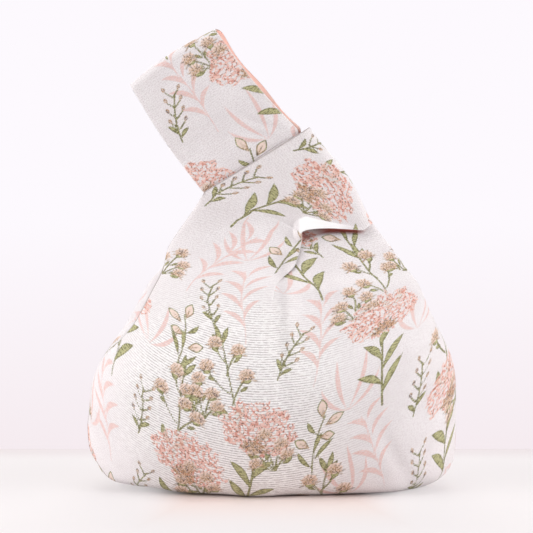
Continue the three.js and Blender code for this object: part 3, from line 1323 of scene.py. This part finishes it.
def bud_plant() -> Plant:
    """A thin twig with pairs of seed buds.

    Returns:
        The plant.
    """
    p = Plant()
    p.line(Ink.LEAF, 0, 0, -5, 32, 1.1, -1.6, 0)
    for v in (9, 16, 23, 30):
        for angle in (46, -46):
            a = math.radians(angle)
            p.line(Ink.LEAF, 1, v, angle, 6, 1.0, 0.0, 0)
            p.line(Ink.BUD, 1 - 5.5 * math.sin(a), v + 5.5 * math.cos(a), angle * 0.6, 4.6, 2.6)
    p.line(Ink.LEAF, 0, 4, 40, 11, 2.8, 1.0)
    p.line(Ink.LEAF, 0, 2, -44, 10, 2.6, -1.0)
    return p


@dataclass
class FloralCloth:
    """The jacquard's plants, repeated over the flat cloth.

    Attributes:
        wide: repeat across, in millimetres.
        high: repeat along, in millimetres.
        reach: distances are kept up to this far from a mark.
        margin: distances are worked out up to this far past a mark's size.
        tilt_steps: turn from one plant to the next across and along, in degrees.
        tilt_span: range that the turns are kept in.
        filler_rise: place of the small plants between two rows.
        filler_tilt: their turn for each degree of the plant beside them.
    """

    wide: float = 178.0
    high: float = 230.0
    reach: float = 4.0
    margin: float = 8.0
    tilt_steps: tuple[int, int] = (37, 53)
    tilt_span: int = 27
    filler_rise: float = 0.62
    filler_tilt: float = -1.6

    def marks(self) -> list[Mark]:
        """All marks of one repeat.

        Returns:
            The plants' marks, each plant turned and every other one mirrored.
        """
        bloom, sprig, frond, pod = bloom_plant(), sprig_plant(), frond_plant(), pod_plant()
        fillers = (spray_plant(), plume_plant(), bud_plant())
        order = ((bloom, sprig, frond, pod), (pod, frond, bloom, sprig),
                 (frond, bloom, sprig, pod), (sprig, pod, frond, bloom))
        wide, high = self.wide / len(order), self.high / len(order[0])
        out: list[Mark] = []
        for i, column in enumerate(order):
            for j, plant in enumerate(column):
                u, v = wide * i, high * (j + 0.5 * (i % 2))
                steps = self.tilt_steps[0] * i + self.tilt_steps[1] * j
                tilt = steps % self.tilt_span - float(self.tilt_span // 2)
                out += plant.placed(u, v, tilt, (i + j) % 2 == 1)
                filler = fillers[(i + 2 * j) % len(fillers)]
                rise = v + self.filler_rise * high
                out += filler.placed(u + 0.5 * wide, rise, self.filler_tilt * tilt, j % 2 == 0)
        return out

    def paint(self, piece: bpy.types.Object, shift: tuple[float, float]) -> None:
        """Writes each yarn's signed distance, in millimetres, on the piece's points.

        Args:
            piece: cloth with a flat attribute.
            shift: moves the plants over the cloth.
        """
        mesh = piece.data
        flat = np.empty(len(mesh.vertices) * 3, np.float32)
        mesh.attributes["flat"].data.foreach_get("vector", flat)
        flat = flat.reshape(-1, 3).astype(float)
        u, v = flat[:, 0] - shift[0], flat[:, 1] - shift[1]
        fields = {ink: np.full(len(u), self.reach) for ink in Ink}
        for mark in self.marks():
            du = (u - mark.base[0] + self.wide / 2.0) % self.wide - self.wide / 2.0
            dv = (v - mark.base[1] + self.high / 2.0) % self.high - self.high / 2.0
            size = mark.length if isinstance(mark, Stroke) else max(mark.wide, mark.high)
            near = np.nonzero(np.hypot(du, dv) < size + self.margin)[0]
            nearest = fields[mark.ink]
            nearest[near] = np.minimum(nearest[near], mark.distance(du[near], dv[near]))
        # the lip's painted highlight keeps the plants off the lip
        bare = np.empty(len(mesh.vertices), np.float32)
        mesh.attributes["bare"].data.foreach_get("value", bare)
        for ink, values in fields.items():
            values = np.where(bare > 0.5, self.reach, values)
            layer = mesh.attributes.new(ink.value, "FLOAT", "POINT")
            layer.data.foreach_set("value", values.astype(np.float32))


@dataclass(frozen=True)
class Grain:
    """A noise over the flat cloth: its scale, detail and roughness."""

    scale: float
    detail: float
    roughness: float = 0.5


class Nodes:
    """Short way to add and link the shader nodes of a material or a world."""

    def __init__(self, holder: bpy.types.Material | bpy.types.World) -> None:
        """Opens the holder's node tree.

        Args:
            holder: material or world.
        """
        self.holder = holder
        holder.use_nodes = True
        self.tree = holder.node_tree

    def feed(self, socket: Socket, value: object) -> None:
        """Links a socket, or sets its value; a colour is given by its code.

        Args:
            socket: input to feed.
            value: socket, colour code or plain value.
        """
        if isinstance(value, bpy.types.NodeSocket):
            self.tree.links.new(value, socket)
        else:
            socket.default_value = linear(value) if isinstance(value, str) else value

    def add(self, kind: str, **values: object) -> bpy.types.Node:
        """Adds a node and sets its fields or, by name, its inputs.

        Args:
            kind: node type without the ShaderNode part.
            values: fields, or inputs with _ for a space; a socket is linked.

        Returns:
            The node.
        """
        node = self.tree.nodes.new("ShaderNode" + kind)
        for key, value in values.items():
            if hasattr(node, key):
                setattr(node, key, value)
            else:
                self.feed(node.inputs[key.replace("_", " ")], value)
        return node

    def surface(self, **values: object) -> None:
        """Feeds the Principled shader's inputs, named with _ for a space."""
        for key, value in values.items():
            self.feed(self.tree.nodes["Principled BSDF"].inputs[key.replace("_", " ")], value)

    def attribute(self, name: str, output: str = "Fac") -> Socket:
        """Value that the cloth's points carry under a name."""
        return self.add("Attribute", attribute_name=name).outputs[output]

    def noise(self, place: Socket, grain: Grain) -> Socket:
        """Noise over a place."""
        values = {"Scale": grain.scale, "Detail": grain.detail, "Roughness": grain.roughness}
        return self.add("TexNoise", Vector=place, **values).outputs["Fac"]

    def ribs(self, place: Socket, axis: str, pitch: float, **values: float) -> Socket:
        """Waves over a place, at a pitch in millimetres along an axis."""
        scale = WAVE_SCALE / pitch
        return self.add("TexWave", bands_direction=axis, Vector=place, Scale=scale, **values).outputs["Fac"]

    def mapping(self, place: Socket, kind: str, **values: Sequence[float]) -> Socket:
        """Place moved or scaled by a mapping of a kind."""
        return self.add("Mapping", vector_type=kind, Vector=place, **values).outputs[0]

    def math(self, operation: str, *values: object) -> Socket:
        """Result of a math node.

        Args:
            operation: what it works out.
            values: plain values or sockets.

        Returns:
            The result.
        """
        node = self.add("Math", operation=operation)
        for socket, value in zip(node.inputs, values):
            self.feed(socket, value)
        return node.outputs[0]

    def times(self, a: object, b: object) -> Socket:
        """Product of a and b."""
        return self.math("MULTIPLY", a, b)

    def plus(self, a: object, b: object) -> Socket:
        """Sum of a and b."""
        return self.math("ADD", a, b)

    def about_half(self, a: object) -> Socket:
        """Value a less one half."""
        return self.math("SUBTRACT", a, 0.5)

    def span(self, value: object, ramp: Ramp, kind: str = "SMOOTHSTEP") -> Socket:
        """Map of a value from one range to another.

        Args:
            value: value or socket.
            ramp: low and high of the value, and of the result.
            kind: how it runs between them.

        Returns:
            The result.
        """
        node = self.add("MapRange", interpolation_type=kind)
        for key, entry in zip(("Value", "From Min", "From Max", "To Min", "To Max"), (value, *ramp)):
            self.feed(node.inputs[key], entry)
        return node.outputs["Result"]

    def blend(self, factor: object, a: object, b: object) -> Socket:
        """Colour mix of a and b.

        Args:
            factor: share of b.
            a: colour code or socket.
            b: colour code or socket.

        Returns:
            The colour.
        """
        node = self.add("Mix", data_type="RGBA")
        for place, value in ((0, factor), (6, a), (7, b)):
            self.feed(node.inputs[place], value)
        return node.outputs[2]


@dataclass(frozen=True)
class JacquardFinish:
    """Woven ground with plants drawn in coloured yarn.

    Attributes:
        rib_middle: middle of the open, ribbed weave on the flat cloth.
        rib_reach: half its size across and along.
    """

    name: str = "floral_jacquard"
    ground: str = "f5f0f1"
    ground_mid: str = "eee8e9"
    ground_low: str = "d0c5c7"
    rib_white: str = "fefcfb"
    rib_low: str = "c3babb"
    leaf: str = "c2be8f"
    leaf_low: str = "6c693b"
    bloom: str = "d99786"
    bloom_pale: str = "f0cabf"
    bloom_low: str = "6f4936"
    frond: str = "efccc6"
    frond_low: str = "dba69c"
    bud: str = "d3ae88"
    bud_low: str = "97734a"
    seed: str = "4a3020"
    pod: str = "f1dcd2"
    # near-white of the lip and of the turned edges: a painted highlight on their lit faces
    lip: str = "fcfafa"
    # dark of the painted shade in the side seams' crease
    seam: str = "8a7a74"
    # salmon of the lining painted darker as the shade down in the slit
    slit: str = "d7796e"
    rib_pitch: float = 1.55
    rib_middle: Pair = (-20.0, 92.0)
    rib_reach: Pair = (84.0, 105.0)
    thread: tuple[float, float, float] = (0.32, 1.3, 1.0)
    fuzz_grain: Grain = Grain(1.3, 2.0, 0.6)
    broad_grain: Grain = Grain(0.035, 2.0)
    streak_grain: Grain = Grain(1.0, 2.0)
    speck_grain: Grain = Grain(0.9, 1.0)
    clump_grain: Grain = Grain(0.22, 1.0)
    petal_grain: Grain = Grain(1.0 / 3.4, 1.0)
    tint_grain: Grain = Grain(0.4, 2.0)
    leaf_edge: float = 0.3
    frond_edge: float = 0.4
    bud_edge: float = 0.35
    bloom_edge: float = 0.7
    clump_reach: float = 9.0
    bloom_cover: float = 0.85
    # share of the painted highlight along the turned edges, which also hides the plants there
    hem_cover: float = 0.55
    # share of the painted shade in the side seams' crease
    seam_cover: float = 0.85
    dash_reach: float = 1.6
    cloud_ramp: Ramp = (0.3, 0.7, 0.0, 1.0)
    open_ramp: Ramp = (0.75, 1.45, 1.0, 0.3)
    gap_ramp: Ramp = (0.0, 0.4, 1.0, 0.0)
    fuzz_ramp: Ramp = (0.36, 0.54, 1.0, 0.0)
    grain_ramp: Ramp = (0.8, 1.5, 0.34, 0.7)
    ribbed_ramp: Ramp = (0.3, 1.0, 0.0, 0.9)
    frond_ramp: Ramp = (0.35, 0.65, 0.0, 0.8)
    frond_wear: Ramp = (0.36, 0.56, 0.25, 0.85)
    petal_ramp: Ramp = (0.05, 0.12, 0.95, 0.1)
    petal_ragged: float = 0.06
    pale_ramp: Ramp = (0.38, 0.58, 0.0, 1.0)
    bloom_speck: Ramp = (0.58, 0.65, 0.0, 0.9)
    leaf_rim: Ramp = (-1.1, -0.2, 0.0, 0.55)
    leaf_rim_shade: float = -0.12
    leaf_ramp: Ramp = (0.4, 0.55, 0.0, 1.0)
    leaf_wear: Ramp = (0.3, 0.45, 0.7, 1.0)
    pod_wear: Ramp = (0.2, 0.6, 0.75, 1.0)
    bud_ramp: Ramp = (0.4, 0.55, 0.0, 1.0)
    seed_ramp: Ramp = (0.54, 0.6, 0.0, 0.9)
    bud_wear: Ramp = (0.38, 0.54, 0.15, 0.95)
    rib_height: Ramp = (0.0, 1.0, 0.8, 0.3)
    drawn_height: float = 0.8
    bump: Pair = (0.4, 0.0003)
    roughness: Ramp = (0.0, 1.0, 0.78, 0.62)
    specular: float = 0.3
    sheen: Pair = (0.12, 0.45)

    def ground_tone(self, n: Nodes, flat: Socket, rib: Socket, fuzz: Socket, streak: Socket) -> Socket:
        """Colour of the woven ground, ribbed and open in its middle.

        Args:
            n: the material's nodes.
            flat: place on the flat cloth.
            rib: waves of the ribs.
            fuzz: fine noise.
            streak: noise along the threads.

        Returns:
            The colour.
        """
        broad = n.noise(flat, self.broad_grain)
        dash = n.plus(rib, n.times(n.about_half(streak), self.dash_reach))
        middle = n.mapping(flat, "TEXTURE", Location=(*self.rib_middle, 0.0), Scale=(*self.rib_reach, 1.0))
        away = n.add("VectorMath", operation="LENGTH", Vector=middle).outputs["Value"]
        open_weave = n.span(n.plus(away, n.times(broad, 0.5)), self.open_ramp)
        gap = n.times(n.span(dash, self.gap_ramp), open_weave)
        grain = n.times(n.span(fuzz, self.fuzz_ramp), n.span(away, self.grain_ramp))
        ribbed = n.span(open_weave, self.ribbed_ramp)
        cloud = n.blend(n.span(broad, self.cloud_ramp), self.ground_mid, self.ground)
        cloud = n.blend(ribbed, cloud, self.rib_white)
        low = n.blend(ribbed, self.ground_low, self.rib_low)
        ground = n.blend(n.math("MAXIMUM", gap, grain), cloud, low)
        # painted highlight: the lip takes the near-white lip colour
        return n.blend(n.attribute(Trait.BARE.value), ground, self.lip)

    def material(self) -> bpy.types.Material:
        """Makes the material.

        Returns:
            The material, reading the flat place and the yarns' distances.
        """
        n = Nodes(bpy.data.materials.new(self.name))
        flat = n.attribute("flat", "Vector")
        rib = n.ribs(flat, "Y", self.rib_pitch, Distortion=1.2, Detail=2.0, Detail_Scale=1.2)
        fuzz, speck = n.noise(flat, self.fuzz_grain), n.noise(flat, self.speck_grain)
        tint = n.noise(flat, self.tint_grain)
        streak = n.noise(n.mapping(flat, "POINT", Scale=self.thread), self.streak_grain)
        ragged = n.about_half(fuzz)

        def place(ink: Ink) -> Socket:
            """Distance to one yarn, with the stepped edge of a weave."""
            return n.plus(n.attribute(ink.value), ragged)

        def cover(distance: Socket, soft: float) -> Socket:
            """Cover of one yarn by its distance."""
            return n.span(distance, (-soft, soft, 1.0, 0.0))

        clump = n.times(n.about_half(n.noise(flat, self.clump_grain)), self.clump_reach)
        bloom = cover(n.plus(place(Ink.BLOOM), clump), self.bloom_edge)
        clear = n.math("SUBTRACT", 1.0, n.times(bloom, self.bloom_cover))
        leaf = n.times(cover(place(Ink.LEAF), self.leaf_edge), clear)
        frond = cover(place(Ink.FROND), self.frond_edge)
        bud, pod = (cover(place(ink), self.bud_edge) for ink in (Ink.BUD, Ink.POD))
        ridge = n.math("ABSOLUTE", n.about_half(n.noise(flat, self.petal_grain)))
        petal = n.span(n.plus(ridge, n.times(ragged, self.petal_ragged)), self.petal_ramp)
        pale = n.blend(n.span(tint, self.pale_ramp), self.bloom, self.bloom_pale)
        mottle = n.plus(n.times(streak, 0.5), n.times(fuzz, 0.5))
        shade = n.times(n.span(place(Ink.LEAF), self.leaf_rim), self.leaf_rim_shade)
        seed = n.blend(n.span(speck, self.bud_ramp), self.bud, self.bud_low)
        base = self.ground_tone(n, flat, rib, fuzz, streak)
        for factor, tone in (
            (n.times(frond, n.span(fuzz, self.frond_wear)),
             n.blend(n.span(streak, self.frond_ramp), self.frond, self.frond_low)),
            (n.times(bloom, petal), n.blend(n.span(speck, self.bloom_speck), pale, self.bloom_low)),
            (n.times(leaf, n.span(fuzz, self.leaf_wear)),
             n.blend(n.span(n.plus(mottle, shade), self.leaf_ramp), self.leaf_low, self.leaf)),
            (n.times(pod, n.span(streak, self.pod_wear)), self.pod),
            (n.times(bud, n.span(fuzz, self.bud_wear)),
             n.blend(n.span(tint, self.seed_ramp), seed, self.seed)),
            # painted highlight: a pale line along the turned edges
            (n.times(n.attribute(Trait.HEM.value), self.hem_cover), self.lip),
            # painted shade in the crease of the side seams
            (n.times(n.attribute(Trait.SEAM.value), self.seam_cover), self.seam),
            # painted shade: the lining's colour, darkened as in the slit's shade
            (n.attribute(Trait.SLIT.value), self.slit),
        ):
            base = n.blend(factor, base, tone)
        drawn = n.math("MAXIMUM", n.math("MAXIMUM", leaf, bud), n.math("MAXIMUM", bloom, frond))
        yarn = n.plus(n.times(drawn, self.drawn_height), n.times(streak, 0.5))
        height = n.plus(n.times(rib, n.span(drawn, self.rib_height)), yarn)
        bump = n.add("Bump", Strength=self.bump[0], Distance=self.bump[1], Height=height)
        n.surface(Base_Color=base, Normal=bump.outputs[0], Roughness=n.span(drawn, self.roughness),
                  Specular_IOR_Level=self.specular, Sheen_Weight=self.sheen[0],
                  Sheen_Roughness=self.sheen[1])
        return n.holder


@dataclass(frozen=True)
class PlainClothFinish:
    """Plain woven cloth, as the lining and the interlining."""

    name: str
    colour: str
    colour_low: str
    pitch: float
    sheen: float
    cloud_grain: Grain = Grain(0.06, 3.0)
    tone_shares: Pair = (0.5, 0.7)
    tone_ramp: Ramp = (0.2, 0.9, 0.0, 1.0)
    bump: Pair = (0.35, 0.0002)
    roughness: Ramp = (0.2, 0.8, 0.62, 0.74)
    specular: float = 0.35

    def material(self) -> bpy.types.Material:
        """Makes the material.

        Returns:
            The material, woven over the flat place.
        """
        n = Nodes(bpy.data.materials.new(self.name))
        flat = n.attribute("flat", "Vector")
        warp, weft = (n.ribs(flat, axis, self.pitch, Distortion=0.5, Detail=1.0) for axis in ("X", "Y"))
        cloud, weave = n.noise(flat, self.cloud_grain), n.times(warp, weft)
        tone = n.plus(n.times(weave, self.tone_shares[0]), n.times(cloud, self.tone_shares[1]))
        bump = n.add("Bump", Strength=self.bump[0], Distance=self.bump[1], Height=weave)
        n.surface(Base_Color=n.blend(n.span(tone, self.tone_ramp), self.colour_low, self.colour),
                  Normal=bump.outputs[0], Roughness=n.span(cloud, self.roughness),
                  Specular_IOR_Level=self.specular, Sheen_Weight=self.sheen)
        return n.holder


@dataclass
class BagCloths:
    """All cloth pieces of the bag, built and dressed.

    Attributes:
        outer: layer of the outer panels.
        lining: layer of the linings.
        interlining: layer of the interlinings.
        strap: layer of the long handle's outer cloth.
        strap_lining: layer of its lining.
        hem: how far an edge is turned in, in millimetres.
        bend: places along the long handle; their points are worked out but not used.
    """

    outer: Layer = Layer(0.0, 1.05)
    lining: Layer = Layer(1.9, 3.2)
    interlining: Layer = Layer(1.2, 3.2)
    strap: Layer = Layer(0.0, 0.9)
    strap_lining: Layer = Layer(1.2, 2.0, 0.05)
    hem: float = 1.1
    bend: Pair = (28.0, 48.0)
    plants: FloralCloth = field(default_factory=FloralCloth)

    def __post_init__(self) -> None:
        """Makes the finishes."""
        self.jacquard = JacquardFinish().material()
        self.salmon = PlainClothFinish("salmon_lining", "ffdfd4", "ffcabb", 0.7, 0.2).material()
        self.felt = PlainClothFinish("white_interlining", "f1efeb", "e4e1dc", 1.6, 0.05).material()

    def sew(self, name: str, face: Face, patches: Sequence[Patch], hemmed: bool) -> bpy.types.Object:
        """Makes one piece of cloth out of its patches.

        Args:
            name: name of the piece.
            face: face of the bag that it lies on.
            patches: its grids.
            hemmed: whether its free edges are turned in.

        Returns:
            The piece.
        """
        cloth = ClothBuilder()
        for patch in patches:
            cloth.add(patch)
        cloth.join(face.value)
        if hemmed:
            cloth.turn_hems(face.value, self.hem * MM)
        return cloth.finish(name)

    def dress(self, piece: bpy.types.Object, material: bpy.types.Material,
              nodes: Sequence[str]) -> None:
        """Gives a piece its finish and hides the CAD nodes that it stands for.

        Args:
            piece: the cloth.
            material: its finish.
            nodes: CAD nodes that it replaces.
        """
        piece.data.materials.append(material)
        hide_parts(*nodes)
        LOG.info("%s: %d faces", piece.name, len(piece.data.polygons))

    def build_panel(self, face: Face) -> None:
        """Builds the outer panel of a face with its straps.

        Args:
            face: face of the bag.
        """
        piece = self.sew(f"outer_{face.label}", face, Panel(face, self.outer).patches(), True)
        self.plants.paint(piece, PANEL_SHIFT[face])
        nodes = [f"outer_{face.label}_panel", f"short_handle_{face.label}_outer",
                 f"long_handle_root_{face.label}_outer"]
        self.dress(piece, self.jacquard, nodes)
        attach(piece, "bag")

    def build_inner(self, face: Face) -> None:
        """Builds the lining and the interlining of a face.

        Args:
            face: face of the bag.
        """
        piece = self.sew(f"lining_{face.label}_cloth", face, Panel(face, self.lining).patches(), False)
        nodes = [f"lining_{face.label}_panel", f"short_handle_{face.label}_lining",
                 f"long_handle_root_{face.label}_lining"]
        self.dress(piece, self.salmon, nodes)
        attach(piece, "bag")
        pouch = Panel(face, self.interlining).patches()[:1]
        piece = self.sew(f"interlining_{face.label}_cloth", face, pouch, False)
        self.dress(piece, self.felt, [f"interlining_{face.label}"])
        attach(piece, "bag")

    def build_handle(self, face: Face) -> None:
        """Builds the long handle's strap of a face, outer cloth and lining.

        Args:
            face: face of the bag.
        """
        ends = [HandleShape().place(0.0, along) for along in self.bend]
        for kind, layer in (("outer", self.strap), ("lining", self.strap_lining)):
            is_outer = kind == "outer"
            name = f"long_handle_{face.label}_{kind}_cloth"
            piece = self.sew(name, face, [LongHandle(face, layer).patch()], is_outer)
            nodes = [f"long_handle_{part}_{face.label}_{kind}" for part in ("stem", "fold", "loop")]
            if is_outer:
                self.plants.paint(piece, STRAP_SHIFT[face])
                self.dress(piece, self.jacquard, nodes)
            else:
                self.dress(piece, self.salmon, nodes)
            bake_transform(piece)

    def build(self) -> None:
        """Builds every cloth piece of both faces."""
        for face in Face:
            self.build_panel(face)
            self.build_inner(face)
            self.build_handle(face)


@dataclass(frozen=True)
class Lamp:
    """A soft square lamp: place, aim and size in metres, and power in watts."""

    name: str
    place: tuple[float, float, float]
    aim: tuple[float, float, float]
    size: float
    power: float

    def build(self) -> None:
        """Adds the lamp to the scene."""
        data = bpy.data.lights.new(self.name, "AREA")
        data.size = self.size
        data.energy = self.power
        lamp = bpy.data.objects.new(self.name, data)
        lamp.location = self.place
        lamp.rotation_euler = (Vector(self.aim) - Vector(self.place)).to_track_quat("-Z", "Y").to_euler()
        bpy.context.scene.collection.objects.link(lamp)


@dataclass
class Studio:
    """Pale table and backdrop, soft lamps and the camera; sizes in metres, angles in degrees.

    Attributes:
        foot_half: half size of the shaded table under the bag, across and along.
        foot_fade: where that shade ends.
        table_glow: share of the table's white that the camera sees as its own light.
        wall_rows: heights of the view between which the wall turns from pink to white.
    """

    distance: float = 1.15
    elevation: float = 3.7
    azimuth: float = 0.0
    sensor: float = 36.0
    aim: tuple[float, float, float] = (-0.004, 0.0, 0.1445)
    view_width: float = 0.3475
    table_back: float = 0.145
    table_reach: float = 2.0
    table_colour: str = "f5eff0"
    table_bounce: str = "ece8e8"
    # painted shadow line at the table's far edge, and how far it fades
    table_edge: str = "e6d9dc"
    table_edge_fade: float = 0.05
    table_roughness: float = 0.9
    table_specular: float = 0.1
    # painted warm light bounced from the pink cloth onto the table under the bag
    foot_tone: str = "e7d9d5"
    foot_half: Pair = (0.05, 0.042)
    foot_fade: Pair = (0.088, 0.15)
    table_glow: float = 0.6
    far_table: Pair = (0.5, 1.0)
    wall_low: str = "f4e9ed"
    wall_high: str = "fdf9fe"
    wall_rows: Pair = (-0.19, -0.04)
    room_light: float = 0.21
    room_tint: Colour = (1.0, 0.975, 0.98, 1.0)
    lamps: tuple[Lamp, ...] = (
        Lamp("key", (0.0, -0.18, 2.0), (0.0, 0.0, 0.1), 1.3, 16.0),
        Lamp("left", (-1.25, -0.42, 0.64), (0.0, 0.0, 0.12), 0.9, 13.5),
        Lamp("right", (1.25, -0.38, 0.58), (0.0, 0.0, 0.12), 0.9, 12.0),
        Lamp("back", (0.0, 1.5, 0.9), (0.0, 0.0, 0.12), 1.2, 14.0),
    )

    def camera(self) -> None:
        """Sets the camera at the photograph's angle."""
        data = bpy.data.cameras.new("camera")
        data.sensor_width = self.sensor
        data.lens = self.sensor * self.distance / self.view_width
        rig = bpy.data.objects.new("camera", data)
        el, az = math.radians(self.elevation), math.radians(self.azimuth)
        offset = Vector((math.sin(az) * math.cos(el), -math.cos(az) * math.cos(el), math.sin(el)))
        rig.location = Vector(self.aim) + offset * self.distance
        rig.rotation_euler = (-offset).to_track_quat("-Z", "Y").to_euler()
        bpy.context.scene.collection.objects.link(rig)
        bpy.context.scene.camera = rig

    def table_material(self) -> bpy.types.Material:
        """Makes the table's white, part of which the camera sees as its own light.

        Returns:
            The material, darker under the bag with a painted warm bounce there, and with a painted shadow
            line at the table's far edge.
        """
        n = Nodes(bpy.data.materials.new("table"))
        seen = n.add("LightPath").outputs["Is Camera Ray"]
        place = n.add("TexCoord").outputs["Object"]
        parts = n.add("SeparateXYZ", Vector=place).outputs
        clear = [n.span(n.math("ABSOLUTE", parts[i]), (self.foot_half[i], self.foot_fade[i], 0.0, 1.0))
                 for i in (0, 1)]
        away = n.add("VectorMath", operation="LENGTH", Vector=place).outputs["Value"]
        far = n.span(away, (*self.far_table, 0.0, 1.0 - self.table_glow))
        open_table = n.math("MAXIMUM", *clear)
        glow = n.plus(n.times(open_table, self.table_glow), far)
        # painted shadow line along the table's far edge
        edge = n.span(parts[1], (self.table_back - self.table_edge_fade, self.table_back, 0.0, 1.0))
        tone = n.blend(edge, self.table_colour, self.table_edge)
        light = n.add("Emission", Color=tone, Strength=1.0)
        # painted bounce: the table's colour turns warm under the bag
        n.surface(Base_Color=n.blend(open_table, self.foot_tone, self.table_bounce),
                  Roughness=self.table_roughness, Specular_IOR_Level=self.table_specular)
        self.join(n, n.times(seen, glow), n.tree.nodes["Principled BSDF"], light)
        return n.holder

    def join(self, n: Nodes, factor: Socket, first: bpy.types.Node, second: bpy.types.Node) -> None:
        """Sends a mix of two shaders to the tree's output.

        Args:
            n: nodes of a material or a world.
            factor: share of the second shader.
            first: shader node.
            second: shader node.
        """
        both = n.add("MixShader")
        for socket, value in zip(both.inputs, (factor, first.outputs[0], second.outputs[0])):
            n.feed(socket, value)
        output = next(node for node in n.tree.nodes if node.bl_idname.startswith("ShaderNodeOutput"))
        n.feed(output.inputs["Surface"], both.outputs[0])

    def table(self) -> None:
        """Makes the pale table."""
        bm = bmesh.new()
        bmesh.ops.create_grid(bm, x_segments=1, y_segments=1, size=self.table_reach)
        slide = Vector((0.0, self.table_back - self.table_reach, 0.0))
        bmesh.ops.translate(bm, verts=bm.verts, vec=slide)
        mesh = bpy.data.meshes.new("table")
        bm.to_mesh(mesh)
        bm.free()
        surface = bpy.data.objects.new("table", mesh)
        bpy.context.scene.collection.objects.link(surface)
        mesh.materials.append(self.table_material())

    def world(self) -> None:
        """Lights the room softly and shows the camera a white wall, pinker low down."""
        world = bpy.data.worlds.new("studio")
        bpy.context.scene.world = world
        n = Nodes(world)
        soft = n.tree.nodes["Background"]
        soft.inputs["Color"].default_value = self.room_tint
        soft.inputs["Strength"].default_value = self.room_light
        place = n.add("TexCoord").outputs["Generated"]
        height = n.add("SeparateXYZ", Vector=place).outputs["Z"]
        rise = n.span(height, (*self.wall_rows, 0.0, 1.0), "LINEAR")
        wall = n.add("Background", Color=n.blend(rise, self.wall_low, self.wall_high))
        self.join(n, n.add("LightPath").outputs["Is Camera Ray"], soft, wall)

    def build(self) -> None:
        """Builds the studio."""
        self.camera()
        self.table()
        for lamp in self.lamps:
            lamp.build()
        self.world()
        bpy.context.scene.view_settings.view_transform = "Standard"


def main() -> None:
    """Builds the studio and the bag, and reports each piece."""
    logging.basicConfig(level=logging.INFO, format="%(name)s %(message)s")
    Studio().build()
    BagCloths().build()
    bpy.context.view_layer.update()


if __name__ == "__main__":
    main()
